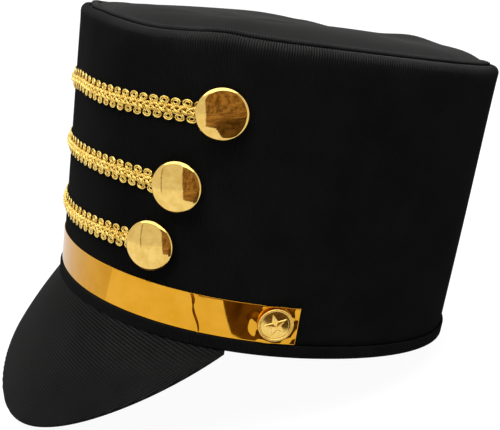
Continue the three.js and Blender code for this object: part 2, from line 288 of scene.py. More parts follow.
def clothMaterial(name, threadScale, threadBump):
    look = clothLooks[name]
    material, nodes, links, shader = newMaterial(name)
    place = addNode(nodes, "ShaderNodeTexCoord")
    patches = addNode(nodes, "ShaderNodeTexNoise", Scale=55, Detail=4, Roughness=0.6)
    threads = addNode(nodes, "ShaderNodeTexNoise", Scale=threadScale, Detail=3, Roughness=0.7)
    links.new(place.outputs["Object"], patches.inputs["Vector"])
    links.new(place.outputs["Object"], threads.inputs["Vector"])
    mixed = addNode(nodes, "ShaderNodeMath", operation="ADD")
    links.new(patches.outputs["Fac"], mixed.inputs[0])
    links.new(threads.outputs["Fac"], mixed.inputs[1])
    halved = addNode(nodes, "ShaderNodeMath", operation="MULTIPLY")
    halved.inputs[1].default_value = 0.5
    links.new(mixed.outputs[0], halved.inputs[0])
    colour = ramp(nodes, [(0.35, (look["dark"],) * 3), (0.65, (look["light"],) * 3)])
    links.new(halved.outputs[0], colour.inputs["Fac"])
    paintedLight = addNode(nodes, "ShaderNodeAttribute", attribute_name="paintedLight")
    paintedLightGain = addNode(nodes, "ShaderNodeMapRange")
    paintedLightGain.inputs["To Min"].default_value = look["paintedShade"]
    paintedLightGain.inputs["To Max"].default_value = look["paintedLight"]
    links.new(paintedLight.outputs["Fac"], paintedLightGain.inputs["Value"])
    shaded = addNode(nodes, "ShaderNodeVectorMath", operation="SCALE")
    links.new(colour.outputs["Color"], shaded.inputs["Vector"])
    links.new(paintedLightGain.outputs["Result"], shaded.inputs["Scale"])
    links.new(shaded.outputs["Vector"], shader.inputs["Base Color"])
    rough = addNode(nodes, "ShaderNodeMapRange")
    rough.inputs["To Min"].default_value = look["rough"] - 0.08
    rough.inputs["To Max"].default_value = look["rough"] + 0.08
    links.new(patches.outputs["Fac"], rough.inputs["Value"])
    links.new(rough.outputs["Result"], shader.inputs["Roughness"])
    bump = addNode(nodes, "ShaderNodeBump", Strength=threadBump, Distance=0.0002)
    links.new(threads.outputs["Fac"], bump.inputs["Height"])
    links.new(bump.outputs["Normal"], shader.inputs["Normal"])
    shader.inputs["Sheen Weight"].default_value = look["sheen"]
    shader.inputs["Sheen Roughness"].default_value = 0.5
    shader.inputs["Specular IOR Level"].default_value = look["shine"]
    return material


metalLooks = {
    "goldFilm": {
        "dark": (0.64, 0.305, 0.018),
        "light": (0.69, 0.345, 0.028),
        "smooth": 0.02,
        "rough": 0.06,
        "grain": 260,
        "bump": 0.01,
    },
    "goldMetal": {
        "dark": (0.7, 0.45, 0.11),
        "light": (0.82, 0.57, 0.17),
        "smooth": 0.03,
        "rough": 0.09,
        "grain": 700,
        "bump": 0.04,
    },
    "starMetal": {
        "dark": (0.74, 0.47, 0.1),
        "light": (0.86, 0.6, 0.17),
        "smooth": 0.08,
        "rough": 0.22,
        "grain": 700,
        "bump": 0.06,
    },
    "goldGimp": {
        "dark": (0.56, 0.33, 0.04),
        "light": (1, 0.77, 0.23),
        "smooth": 0.12,
        "rough": 0.3,
        "grain": 1500,
        "bump": 0.6,
    },
}


def metalMaterial(name):
    look = metalLooks[name]
    material, nodes, links, shader = newMaterial(name)
    place = addNode(nodes, "ShaderNodeTexCoord")
    stains = addNode(nodes, "ShaderNodeTexNoise", Scale=look["grain"] * 0.35, Detail=5, Roughness=0.65)
    grain = addNode(nodes, "ShaderNodeTexNoise", Scale=look["grain"], Detail=3, Roughness=0.6)
    links.new(place.outputs["Object"], stains.inputs["Vector"])
    links.new(place.outputs["Object"], grain.inputs["Vector"])
    colour = ramp(nodes, [(0.35, look["dark"]), (0.6, look["light"])])
    links.new(stains.outputs["Fac"], colour.inputs["Fac"])
    links.new(colour.outputs["Color"], shader.inputs["Base Color"])
    rough = addNode(nodes, "ShaderNodeMapRange")
    rough.inputs["To Min"].default_value = look["smooth"]
    rough.inputs["To Max"].default_value = look["rough"]
    links.new(grain.outputs["Fac"], rough.inputs["Value"])
    links.new(rough.outputs["Result"], shader.inputs["Roughness"])
    bump = addNode(nodes, "ShaderNodeBump", Strength=look["bump"], Distance=0.0002)
    links.new(grain.outputs["Fac"], bump.inputs["Height"])
    links.new(bump.outputs["Normal"], shader.inputs["Normal"])
    shader.inputs["Metallic"].default_value = 1
    return material


ribbedCloth = clothMaterial("ribbedCloth", 2600, 0.35)
peakCloth = clothMaterial("peakCloth", 2600, 0.4)
satinCloth = clothMaterial("satinCloth", 3200, 0.12)
goldFilm = metalMaterial("goldFilm")
goldMetal = metalMaterial("goldMetal")
starMetal = metalMaterial("starMetal")
goldGimp = metalMaterial("goldGimp")
print("materials made")


# Crown wall, with its upright ribs running over the turned-over edge

# the cloth inside the edge: how far in, how far down, share of the ribs' relief
edgeFold = [
    (0.0038, 0.0001, 0.9),
    (0.0041, 0.0004, 0.5),
    (0.0042, 0.0011, 0),
    (0.0042, 0.002, 0),
]


def ribWave(columns):
    return np.cos(tau * np.arange(columns) / crown["columnsPerRib"])


def makeCrownWall():
    columns = crown["ribs"] * crown["columnsPerRib"]
    angles = evenAngles(columns, crown["height"] / 2)
    wave = ribWave(columns)
    back = (angles % tau) - math.pi
    seam = crown["seamDepth"] * np.exp(-((back * crown["rimDepth"] / 2 / crown["seamWidth"]) ** 2))
    top = wallTop(angles)
    radius = crown["edgeRadius"]
    rows, shades = [], []

    # painted light: the cloth over the edge is lighter at the left side
    turned = np.degrees(angles)
    (begin, beginFade), (end, endFade) = crown["litEdgeFrom"], crown["litEdgeTo"]
    before, after = np.exp(-(turned - begin) / beginFade), np.exp((turned - end) / endFade)
    litEdge = crown["litEdgeLeast"] + (1 - crown["litEdgeLeast"]) / ((1 + before) * (1 + after))
    # and painted shade darkens the wall beside the braids, where the ribs' painted light and shade swing
    # wider
    away = (np.abs(turned) - crown["shadeAt"]) / crown["shadeWidth"]
    shadeFactor = 1 - crown["shadeShare"] * np.exp(-(away ** 2))

    def addRow(place, strength):
        rows.append(place)
        (middle, swing), (edgeMiddle, edgeSwing) = crown["wallShade"], crown["edgeShade"]
        middle, swing = middle * shadeFactor, swing * (3 - 2 * shadeFactor)
        share = strength * (litEdge if strength > 0 else 1)
        middle = middle + (edgeMiddle - middle) * share
        swing = swing + (edgeSwing - swing) * share
        shades.append(middle + swing * wave)

    def depth(strength):
        return wave * (crown["ribDepth"] + (crown["edgeRibDepth"] - crown["ribDepth"]) * strength)

    for share in list(np.linspace(0, 0.96, 14)) + [0.985, 1]:
        strength = share ** 60  # nothing until just below the edge
        addRow(wallPoint(angles, share * (top - radius), depth(strength) - seam), 0.5 * strength)
    for turn in np.linspace(0, math.pi / 2, 9)[1:]:
        out = (depth(1) - seam) * math.cos(turn) - radius * (1 - math.cos(turn))
        place = wallPoint(angles, top - radius * (1 - math.sin(turn)), out)
        place[:, 2] += depth(1) * math.sin(turn)
        addRow(place, 1)
    for inset, drop, share in edgeFold:
        place = wallPoint(angles, top - drop, -inset)
        place[:, 2] += depth(1) * share
        # painted light on the fold's outer rows, painted shade on the rows deep inside it
        addRow(place, share if share else -0.4)
    addRow(wallPoint(angles, top - radius - crown["wall"], -crown["wall"]), 0)
    addRow(wallPoint(angles, top / 2, -crown["wall"]), 0)
    addRow(wallPoint(angles, 0 * angles, -crown["wall"]), 0)
    faces = gridFaces(len(rows), columns, closedRows=True)
    shade = np.array(shades)
    return addPiece("crownWall", np.array(rows), faces, ribbedCloth, ["crown_wall"], shade)


# Crown tip: satin cloth puffed up inside its seam

tip = {
    "thickness": 0.0015,
    "puff": 0.0094,
    "fullness": 6,
    "seamDepth": 0.001,
    "gap": 0.0003,
    "columns": 288,
    "rings": 72,
    "puckers": 46,
    "puckerDepth": 0.0003,
    # painted light of the satin where no patch changes it
    "shade": 0.62,
}
# ends as shares of the half width and half depth, depths as shares of the puff
tipCreases = [
    {"start": (-0.7, 0.25), "end": (0.55, 0.45), "width": 0.14, "depth": 0.16},
    {"start": (-0.35, -0.75), "end": (0.5, -0.35), "width": 0.13, "depth": 0.14},
    {"start": (0.1, 0.75), "end": (0.75, 0.1), "width": 0.12, "depth": 0.12},
    {"start": (0.25, -0.85), "end": (0.45, -0.2), "width": 0.05, "depth": 0.05},
    {"start": (0.55, 0.3), "end": (0.85, 0.25), "width": 0.05, "depth": 0.05},
    {"start": (-0.75, 0.5), "end": (-0.5, 0.1), "width": 0.07, "depth": 0.06},
]
# the same shares, rises in metres
tipBumps = [
    {"place": (-0.43, -0.63), "width": 0.22, "rise": -0.0034},
    {"place": (-0.2, -0.7), "width": 0.14, "rise": -0.0011},
    {"place": (-0.34, -0.02), "width": 0.24, "rise": 0.0019},
    {"place": (-0.08, 0.12), "width": 0.09, "rise": 0.0007},
    {"place": (0.12, 0.64), "width": 0.13, "rise": 0.0022},
    {"place": (0.5, 0.78), "width": 0.12, "rise": 0.0016},
]
# painted light and shade on the satin: place, width and change
tipShadePatches = [
    {"place": (0.45, -0.45), "width": 0.32, "change": -0.34},
    {"place": (0.55, 0.12), "width": 0.26, "change": -0.15},
    {"place": (-0.2, 0.1), "width": 0.3, "change": -0.08},
]


def tipShade(x, y):
    total = tip["shade"] + 0 * x
    for patch in tipShadePatches:
        away = np.hypot(x - patch["place"][0], y - patch["place"][1])
        total = total + patch["change"] * np.exp(-((away / patch["width"]) ** 2))
    return total


def creaseShare(x, y):
    total = 0 * x
    for crease in tipCreases:
        start, end = np.array(crease["start"]), np.array(crease["end"])
        along = end - start
        reach = ((x - start[0]) * along[0] + (y - start[1]) * along[1]) / (along @ along)
        near = np.clip(reach, 0, 1)
        away = np.hypot(x - start[0] - near * along[0], y - start[1] - near * along[1])
        total = total + crease["depth"] * np.exp(-((away / crease["width"]) ** 2))
    return total


def bumpRise(x, y):
    total = 0 * x
    for bump in tipBumps:
        away = np.hypot(x - bump["place"][0], y - bump["place"][1])
        total = total + bump["rise"] * np.exp(-((away / bump["width"]) ** 2))
    return total


puckerSeed = random.Random(11)
puckerRows = [
    {
        "angle": tau * (i + puckerSeed.uniform(-0.3, 0.3)) / tip["puckers"],
        "spread": puckerSeed.uniform(0.02, 0.045),
        "reach": puckerSeed.uniform(0.04, 0.12),
        "depth": tip["puckerDepth"] * puckerSeed.uniform(0.2, 1),
    }
    for i in range(tip["puckers"])
]


def tipHeight(angle, ring, x, y):
    centreY = -crown["topForward"]
    rise = tip["puff"] * (1 - ring ** tip["fullness"])
    sideShare, backShare = x / (crown["topWidth"] / 2), (y - centreY) / (crown["topDepth"] / 2)
    crease = tip["puff"] * creaseShare(sideShare, backShare)
    rise = rise + bumpRise(sideShare, backShare) * (1 - ring ** tip["fullness"])
    pucker = 0 * ring
    for row in puckerRows:
        away = (angle - row["angle"] + math.pi) % tau - math.pi
        fade = (away / row["spread"]) ** 2 + ((1 - ring) / row["reach"]) ** 2
        pucker = pucker + row["depth"] * np.exp(-fade)
    lift = edgeLift(angle) * ring ** 2
    return plainTop(y) + lift - tip["seamDepth"] + rise - crease * (1 - ring ** 2) - pucker


def makeCrownTip():
    angles = evenAngles(tip["columns"], crown["height"])
    edge = wallPoint(angles, wallTop(angles), -crown["turnIn"] - tip["gap"])[:, :2]
    centre = np.array([0, -crown["topForward"]])
    rings = np.linspace(0, 1, tip["rings"] + 1)[1:] ** 0.8
    sheets = []
    for drop in (0, tip["thickness"]):
        rows = []
        for ring in rings:
            flat = centre + (edge - centre) * ring
            high = tipHeight(angles, ring + 0 * angles, flat[:, 0], flat[:, 1]) - drop
            rows.append(np.column_stack([flat, high]))
        sheets.append(np.array(rows))
    columns = tip["columns"]
    size = tip["rings"] * columns
    points = np.concatenate([sheet.reshape(-1, 3) for sheet in sheets])
    middles = [sheet[0].mean(axis=0) for sheet in sheets]
    points = np.concatenate([points, middles])
    faces = gridFaces(tip["rings"], columns) + gridFaces(tip["rings"], columns, first=size)
    for c in range(columns):
        n = (c + 1) % columns
        faces.append([2 * size, c, n])
        faces.append([2 * size + 1, size + n, size + c])
        outer = size - columns
        faces.append([outer + c, size + outer + c, size + outer + n, outer + n])
    across = points[:, 0] / (crown["topWidth"] / 2)
    back = (points[:, 1] - centre[1]) / (crown["topDepth"] / 2)
    shade = tipShade(across, back)
    piece = addPiece("crownTip", points, faces, satinCloth, ["crown_tip"], shade)
    flat = (crown["topWidth"] - 2 * crown["turnIn"], crown["topDepth"] - 2 * crown["turnIn"])
    return piece


# Twilled welt that rises from the seam groove to the tip

welt = {
    "pitch": 0.0013,
    "relief": 0.0002,
    "columnsPerTwill": 4,
    "slant": 1.0,
    # painted light of the welt, and how far its twill's crests are painted lighter and its valleys darker
    "shade": 0.56,
    "twillShade": 0.8,
    "standsAt": 55,  # degrees from the front where it stands up fully
    "least": 0.4,  # share of that height on the opposite side
}
# how far inside the wall's outer face, height over the edge, share of the twill's relief, painted light and
# shade (darkest down in the groove)
weltSection = [
    (0.0054, -0.0014, 0, 0),
    (0.0048, -0.0006, 0, 0),
    (0.0046, 0.0001, 0, 0.1),
    (0.0045, 0.0005, 0.6, 0.6),
    (0.0046, 0.001, 1, 1),
    (0.0049, 0.0014, 1, 1),
    (0.0055, 0.0017, 1, 1.1),
    (0.0062, 0.0019, 1, 1.1),
    (0.007, 0.002, 1, 1),
    (0.0078, 0.0019, 1, 1),
    (0.0085, 0.0015, 0.5, 0.7),
    (0.0087, 0.0006, 0, 0.4),
    (0.0075, -0.0006, 0, 0.3),
    (0.0062, -0.0013, 0, 0.1),
]


def makeWelt():
    length = 2 * arcLength(math.pi, crown["height"])
    columns = round(length / welt["pitch"]) * welt["columnsPerTwill"]
    angles = evenAngles(columns, crown["height"])
    wave = tau * np.arange(columns) / welt["columnsPerTwill"]
    level, swing = (1 + welt["least"]) / 2, (1 - welt["least"]) / 2
    stand = level + swing * np.cos(angles - math.radians(welt["standsAt"]))
    rows, shades = [], []
    for i, (inset, rise, share, litShare) in enumerate(weltSection):
        twill = np.cos(wave + welt["slant"] * i)
        relief = welt["relief"] * share * twill
        place = wallPoint(angles, wallTop(angles), -inset + 0.4 * relief)
        place[:, 2] += rise * np.where(rise > 0, stand, 1) + relief
        rows.append(place)
        shades.append(welt["shade"] * litShare * (1 + welt["twillShade"] * share * twill))
    faces = gridFaces(len(rows), columns, closedRows=True)
    return addPiece("tipWelt", np.array(rows), faces, ribbedCloth, shade=np.array(shades))


# Hem

hem = {"height": 0.0054, "thickness": 0.001, "gap": 0.0003, "corner": 0.00035, "bevel": 0.0001}


def makeHem():
    columns = crown["ribs"] * crown["columnsPerRib"]
    angles = evenAngles(columns, crown["height"] / 2)
    rib = ribWave(columns) * crown["ribDepth"]
    outer = hem["gap"] + hem["thickness"]
    top, corner, bevel = hem["height"], hem["corner"], hem["bevel"]
    # height, distance from the wall, share of the ribs' relief
    section = [(0, outer - corner, 0), (bevel, outer - bevel, 0.6), (corner, outer, 1)]
    section += [(height, outer, 1) for height in np.linspace(0.0012, top - 0.0012, 5)]
    section += [(top - corner, outer, 1), (top - bevel, outer - bevel, 0.6), (top, outer - corner, 0)]
    section += [(top, hem["gap"], 0), (0, hem["gap"], 0)]
    rows = [wallPoint(angles, height + 0 * angles, out + rib * share) for height, out, share in section]
    middle, swing = crown["wallShade"]
    # painted light on the rib crests and painted shade in their valleys
    shade = np.array([middle + swing * share * ribWave(columns) for height, out, share in section])
    faces = gridFaces(len(rows), columns, closedRows=True)
    return addPiece("hem", np.array(rows), faces, ribbedCloth, ["hem_band"], shade)


# Peak, its ribs running from side to side

peak = {
    "length": 0.0653,
    "halfAngle": 64.3,
    "drop": 70.2,
    "tipDrop": 32,
    "taper": 1.85,
    "tipShare": 0.985,
    "thickness": 0.002,
    "bow": 0.0016,
    "gap": 0.0003,
    "tuck": 0.0008,  # the root goes up inside the hem by this
    "thinEnds": 0.7,
    "ribPitch": 0.00135,
    "ribDepth": 0.00013,
    "columns": 220,
    "rows": 190,
}


def makePeak():
    limit = math.radians(peak["halfAngle"] * peak["tipShare"])
    angles = evenAngles(peak["columns"], 0, -limit, limit, closed=False)
    turn = np.abs(angles) / math.radians(peak["halfAngle"])
    slope = np.radians(peak["drop"] + (peak["tipDrop"] - peak["drop"]) * turn ** 2)
    length = peak["length"] * (1 - turn ** peak["taper"])
    out = outward(angles, 0 * angles)
    up = np.array([0, 0, 1.0])
    down = out * np.cos(slope)[:, None] - up * np.sin(slope)[:, None]
    face = out * np.sin(slope)[:, None] + up * np.cos(slope)[:, None]
    start = ovalPoint(angles, 0 * angles) + out * (hem["gap"] + hem["thickness"] - peak["gap"])
    thickness = peak["thickness"] * (1 - peak["thinEnds"] * turn ** 8)
    half = thickness / 2
    fall = math.radians(peak["drop"])

    def place(share, depth, ribbed):
        along = share * np.maximum(length - half, 0.0001)
        bow = peak["bow"] * length / peak["length"] * 4 * share * (1 - share)
        spot = start + down * along[:, None] + face * (bow - depth)[:, None]
        reach = -spot[:, 2] * math.sin(fall) - spot[:, 1] * math.cos(fall)
        wave = np.cos(tau * reach / peak["ribPitch"]) * ribbed
        # painted light on the rib crests and painted shade in their valleys
        shades.append(0.5 + 0.5 * wave)
        return spot + face * (peak["ribDepth"] * wave)[:, None]

    shades = []
    root = place(0, 0 * length, 0)
    root[:, 2] = peak["tuck"]
    rows = [root] + [place(share, 0 * length, 1) for share in np.linspace(0, 1, peak["rows"])]
    for bend in np.linspace(0, math.pi, 9)[1:-1]:
        spot = place(1, half * (1 - math.cos(bend)), max(0, math.cos(bend)))
        rows.append(spot + down * (half * math.sin(bend))[:, None])
    for share in np.linspace(1, 0, 40):
        spot = place(share, thickness, 0)
        spot[:, 2] = np.minimum(spot[:, 2], -peak["gap"])
        rows.append(spot)
    inside = rows[-1].copy()
    inside[:, 2] = peak["tuck"]
    rows.append(inside)
    shades.append(shades[-1])
    count = len(rows)
    columns = peak["columns"]
    faces = gridFaces(count, columns, closedRows=True, closedColumns=False) + capFaces(count, columns)
    return addPiece("peakShell", np.array(rows), faces, peakCloth, ["peak"], np.array(shades))


# Gold film band with its one sharp wrinkle and slow waves

band = {
    "width": 0.0164,
    "thickness": 0.0004,
    "gap": 0.0002,
    "edgeRound": 0.00008,
    "edgeShare": 0.012,  # its edges are rounded over this share of its width
    "overHem": 0.0003,
    "waver": 0.25,  # degrees that the wrinkles waver
    "halfAngle": 80.6,
    "columns": 900,
    "rows": 34,
}
# angle in degrees, slant in degrees from edge to edge, width in degrees, depth in metres
bandWrinkles = [
    {"angle": 53.8, "slant": 3.4, "width": 0.42, "depth": 0.00026},
    {"angle": 57.5, "slant": -0.6, "width": 0.9, "depth": 0.00004},
    {"angle": -40, "slant": 1.5, "width": 0.5, "depth": 0.00012},
    {"angle": -56, "slant": -1.8, "width": 1.1, "depth": 0.0001},
]
# folds of the film drawn in under the star buttons: folds all round, depth, distance out, reach
bandPuckers = [
    {"folds": 5, "start": 3.14, "depth": 0.00052, "distance": 0.0078, "reach": 0.0026},
    {"folds": 8, "start": 2.1, "depth": 0.00012, "distance": 0.0088, "reach": 0.0018},
]


def bandBottom():
    return hem["height"] + band["overHem"]


def starPlace():
    # angle in degrees and height of the star buttons
    return band["halfAngle"] - star["insetAngle"], bandBottom() + band["width"] / 2 + star["raise"]


def makeBand():
    limit = math.radians(band["halfAngle"])
    bottom = bandBottom()
    angles = evenAngles(band["columns"], bottom, -limit, limit, closed=False)
    outer = band["gap"] + band["thickness"]
    starAngle, starHeight = starPlace()

    def relief(share):
        total = 0 * angles
        for row in bandWrinkles:
            centre = row["angle"] + row["slant"] * (0.5 - share) + band["waver"] * math.sin(9 * share)
            away = (angles - math.radians(centre)) / math.radians(row["width"])
            total = total + row["depth"] * np.exp(-(away ** 2))
        along = (np.abs(angles) - math.radians(starAngle)) * crown["rimDepth"] / 2
        up = bottom + band["width"] * share - starHeight
        distance, turn = np.hypot(along, up), np.arctan2(up, along)
        for row in bandPuckers:
            near = np.exp(-(((distance - row["distance"]) / row["reach"]) ** 2))
            fold = 0.5 + 0.5 * np.cos(row["folds"] * turn + row["start"])
            total = total + row["depth"] * near * fold
        return total

    shares = [0, 0.004, 0.012] + list(np.linspace(0.03, 0.97, band["rows"])) + [0.988, 0.996, 1]
    rows = []
    for share in shares:
        sink = band["edgeRound"] * max(0, 1 - min(share, 1 - share) / band["edgeShare"]) ** 2
        rows.append(wallPoint(angles, bottom + band["width"] * share, outer - sink + relief(share)))
    for share in (1, 0):
        height = bottom + band["width"] * share
        rows.append(wallPoint(angles, height + 0 * angles, band["gap"] + 0 * angles))
    count = len(rows)
    columns = band["columns"]
    faces = gridFaces(count, columns, closedRows=True, closedColumns=False) + capFaces(count, columns)
    return addPiece("goldBand", np.array(rows), faces, goldFilm, ["gold_band"])


# Gimp braid: a plait with purl cord looped above and below it

braid = {
    "pitch": 0.0052,
    "loopMiddle": 0.00265,  # how far the loops' middles lie from the plait's middle line
    "loopRise": 0.0003,
    "loopWaver": 0.00012,
    "loopSteps": 92,
    "plaitReach": 0.00115,
    "plaitRise": 0.0004,
    "plaitLift": 0.0006,  # over the loops
    "plaitTurns": 0.0104,  # length of one full turn of the plait
    "plaitStep": 0.0003,
    "strandThreads": 3,
    "strandReach": 0.0004,
    "strandTurns": 0.003,
    "threadRadius": 0.00038,
    "threadPurl": 0.0009,
    "purlShare": 0.2,  # how far the purl swells a cord
    "strayRadius": 0.00032,
    "lift": 0.0005,
    "underButton": 0.0034,
}
# the two cords of each loop: swing along the braid, reach across it, cord radius, purl length
loopCords = [
    {"swing": 0.0033, "reach": 0.0017, "radius": 0.0004, "purl": 0.0012},
    {"swing": 0.0024, "reach": 0.001, "radius": 0.0003, "purl": 0.001},
]
# angles in degrees from the front, the other numbers are shares of the crown's height
braidRows = [
    {
        "name": "top",
        "buttonAngle": 54.6,
        "button": 0.7644,
        "braid": 0.75,
        "sag": 0.0156,
        "rise": 0.0208,
        "dip": 0.022,
    },
    {
        "name": "middle",
        "buttonAngle": 45.7,
        "button": 0.5117,
        "braid": 0.507,
        "sag": 0,
        "rise": 0.003,
        "dip": 0.018,
    },
    {
        "name": "bottom",
        "buttonAngle": 40.1,
        "button": 0.3011,
        "braid": 0.277,
        "sag": -0.003,
        "rise": 0.0234,
        "dip": 0,
    },
]
# loose ends at the top left button, along and across the braid from the button's middle
strayThreads = [
    ((-0.0084, -0.002), (-0.0068, -0.0066)),
    ((-0.009, -0.0022), (-0.0079, -0.0062)),
]


def tubeOnWall(row, along, across, out, radius, sides, twist):
    # along, across and out give the cord's middle line; twist is the length of one turn of its purl
    middle = row["braid"] * crown["height"]
    reach = arcLength(math.radians(row["buttonAngle"]), middle)
    table = np.linspace(0, math.radians(row["buttonAngle"]), 800)
    steps = np.linalg.norm(np.diff(ovalPoint(table, middle), axis=0), axis=1)
    walked = np.concatenate([[0], np.cumsum(steps)])
    angle = np.sign(along) * np.interp(np.abs(along), walked, table)
    share = np.abs(along) / reach
    curve = row["rise"] * share ** 2 - row["sag"] * np.sin(math.pi * share) - row["dip"] * share ** 7
    height = middle + crown["height"] * curve
    line = wallPoint(angle, height + across, out)
    tangent = np.gradient(line, axis=0)
    tangent /= np.linalg.norm(tangent, axis=1, keepdims=True)
    away = outward(angle, height)
    side = np.cross(tangent, away)
    side /= np.linalg.norm(side, axis=1, keepdims=True)
    normal = np.cross(side, tangent)
    length = np.concatenate([[0], np.cumsum(np.linalg.norm(np.diff(line, axis=0), axis=1))])
    rows = []
    for i in range(sides):
        turn = tau * i / sides
        thick = radius * (1 + braid["purlShare"] * np.cos(2 * turn + tau * length / twist))
        ring = side * math.cos(turn) + normal * math.sin(turn)
        rows.append(line + ring * thick[:, None])
    return np.array(rows)


def makeBraid(row):
    middle = row["braid"] * crown["height"]
    half = arcLength(math.radians(row["buttonAngle"]), middle) - button["radius"] + braid["underButton"]
    loops = round(half / braid["pitch"])
    tubes = []
    for side in (1, -1):
        for cord in loopCords:
            steps = loops * braid["loopSteps"]
            phase = np.linspace(-loops, loops, steps) * tau + (0 if side > 0 else math.pi)
            along = np.linspace(-half, half, steps) + cord["swing"] * np.sin(phase)
            along = np.clip(along, -half, half)
            across = side * (braid["loopMiddle"] - cord["reach"] * np.cos(phase))
            across = across + braid["loopWaver"] * np.sin(phase * 0.37 + row["buttonAngle"])
            out = braid["lift"] + braid["loopRise"] * np.sin(phase)
            tubes.append(tubeOnWall(row, along, across, out, cord["radius"], 6, cord["purl"]))
    steps = int(2 * half / braid["plaitStep"])
    along = np.linspace(-half, half, steps)
    for strand in range(3):
        phase = tau * along / braid["plaitTurns"] + tau * strand / 3
        for thread in range(braid["strandThreads"]):
            twist = tau * along / braid["strandTurns"] + tau * thread / braid["strandThreads"]
            across = braid["plaitReach"] * np.sin(phase) + braid["strandReach"] * np.cos(twist)
            out = braid["lift"] + braid["plaitLift"] + braid["plaitRise"] * np.sin(2 * phase)
            out = out + braid["strandReach"] * np.sin(twist)
            tubes.append(tubeOnWall(row, along, across, out, braid["threadRadius"], 5, braid["threadPurl"]))
    if row["name"] == "top":
        for start, end in strayThreads:
            share = np.linspace(0, 1, 24)
            reach = half - braid["underButton"] + button["radius"]
            along = reach + start[0] + (end[0] - start[0]) * share
            across = start[1] + (end[1] - start[1]) * share + 0.0005 * np.sin(5 * share)
            out = 0.0006 + 0.0012 * share  # they stand off the cloth toward their tips
            tubes.append(tubeOnWall(row, along, across, out, braid["strayRadius"], 5, braid["threadPurl"]))
    points, faces, first = [], [], 0
    for tube in tubes:
        sides, steps = tube.shape[:2]
        points.append(tube.reshape(-1, 3))
        faces += gridFaces(sides, steps, closedRows=True, closedColumns=False, first=first)
        faces += capFaces(sides, steps, first)
        first += sides * steps
    name = "braid" + row["name"].capitalize()
    return addPiece(name, np.concatenate(points), faces, goldGimp, ["braid_" + row["name"]])


# Buttons

button = {
    "radius": 0.01075,
    "gap": 0.0003,
    "back": 0.0025,
    "shoulder": 0.0022,  # width and height of the rounded shoulder
    "shoulderHeight": 0.0018,
    "under": 0.0008,
    "undercut": 0.0012,
    "domeSlope": 17,  # degrees where the dome meets the shoulder
    "shank": 0.003,
}
# degrees that the buttons of each row look aside and up
crookedButtons = {"top": (13, -2), "middle": (4, 1), "bottom": (5, 0)}


def seat(angle, height, turnSide=0.0, turnUp=0.0, pivot=0.0):
    # across, up and away from the cloth at a place on the wall; a button may sit a little crooked,
    # turned about a point that lies the pivot's length out from the cloth
    foot = ovalPoint(angle, height)
    up = ovalPoint(angle, height + 0.001) - foot
    up /= np.linalg.norm(up)
    out = outward(angle, height)
    across = np.cross(up, out)
    across /= np.linalg.norm(across)
    face = np.cross(across, up)
    face = face + across * math.tan(math.radians(turnSide)) + up * math.tan(math.radians(turnUp))
    face /= np.linalg.norm(face)
    across = np.cross(up, face)
    across /= np.linalg.norm(across)
    up = np.cross(face, across)
    return foot + out * (softness(angle, height) + pivot) - face * pivot, np.array([across, up, face])


def turnedPoints(profile, sides):
    # rows of a round body; the first and last rows shrink to the axis
    turn = tau * np.arange(sides) / sides
    rows = []
    for radius, height in profile:
        radius = max(radius, 0.00002)
        rows.append(np.column_stack([radius * np.cos(turn), radius * np.sin(turn), height + 0 * turn]))
    return np.array(rows)


def addRound(name, rows, place, material, replaces):
    foot, axes = place
    points = rows.reshape(-1, 3) @ axes + foot
    count, sides = rows.shape[:2]
    faces = gridFaces(count, sides)
    faces.append(list(range(sides))[::-1])
    faces.append([(count - 1) * sides + i for i in range(sides)])
    return addPiece(name, points, faces, material, replaces)


def makeButton(row, side):
    radius, back, shoulder = button["radius"], button["back"], button["shoulder"]
    middle = back + button["under"]
    shank, gap = button["shank"], button["gap"]
    profile = [(0, gap), (shank, gap), (shank, back), (radius - button["undercut"], back)]
    for turn in np.radians(np.linspace(-75, 66, 16)):
        rise = button["under"] if turn < 0 else button["shoulderHeight"]
        inward = shoulder * (1 - math.cos(turn)) * (0.4 if turn < 0 else 1)
        profile.append((radius - inward, middle + rise * math.sin(turn)))
    start, foot = profile[-1]
    slope = math.tan(math.radians(button["domeSlope"]))
    for share in np.linspace(1, 0, 24)[1:]:
        profile.append((start * share, foot + start * slope * (1 - share ** 2) / 2))
    rows = turnedPoints(profile, 96)
    sign = 1 if side == "left" else -1
    angle = sign * math.radians(row["buttonAngle"])
    aside, upward = crookedButtons[row["name"]]
    place = seat(angle, row["button"] * crown["height"], sign * aside, upward, button["back"])
    name = "button" + row["name"].capitalize() + side.capitalize()
    return addRound(name, rows, place, goldMetal, ["button_" + row["name"] + "_" + side])


star = {
    "radius": 0.0076,
    "thickness": 0.0018,
    "rim": 0.0013,
    "rimRise": 0.0007,
    "ropes": 88,
    "ropeDepth": 0.00016,
    "ropeSlant": 2.2,
    "turned": 22,  # degrees that the star is turned back from upright
    "dome": 0.0004,
    "nod": -5,  # degrees that it faces down
    "span": 0.0104,
    "waist": 0.4,
    "rise": 0.001,
    "step": 0.00022,  # the star's outline stands up by this
    "insetAngle": 5.8,
    "raise": 0.0009,
    "back": 0.0011,
}


def starRelief(radius, turn):
    # height of the raised star over the button's face
    step = tau / 10
    part = (turn % (2 * step)) / step
    part = np.where(part > 1, 2 - part, part)
    outer = star["span"] / 2
    inner = outer * star["waist"]
    across = inner * np.sin(step * (1 - part)) + outer * np.sin(step * part)
    reach = outer * inner * math.sin(step) / (across + 1e-9)
    lineShare = radius / reach
    return star["rise"] * np.clip(1 - lineShare, 0, 1) ** 0.9 + np.where(lineShare < 1, star["step"], 0)


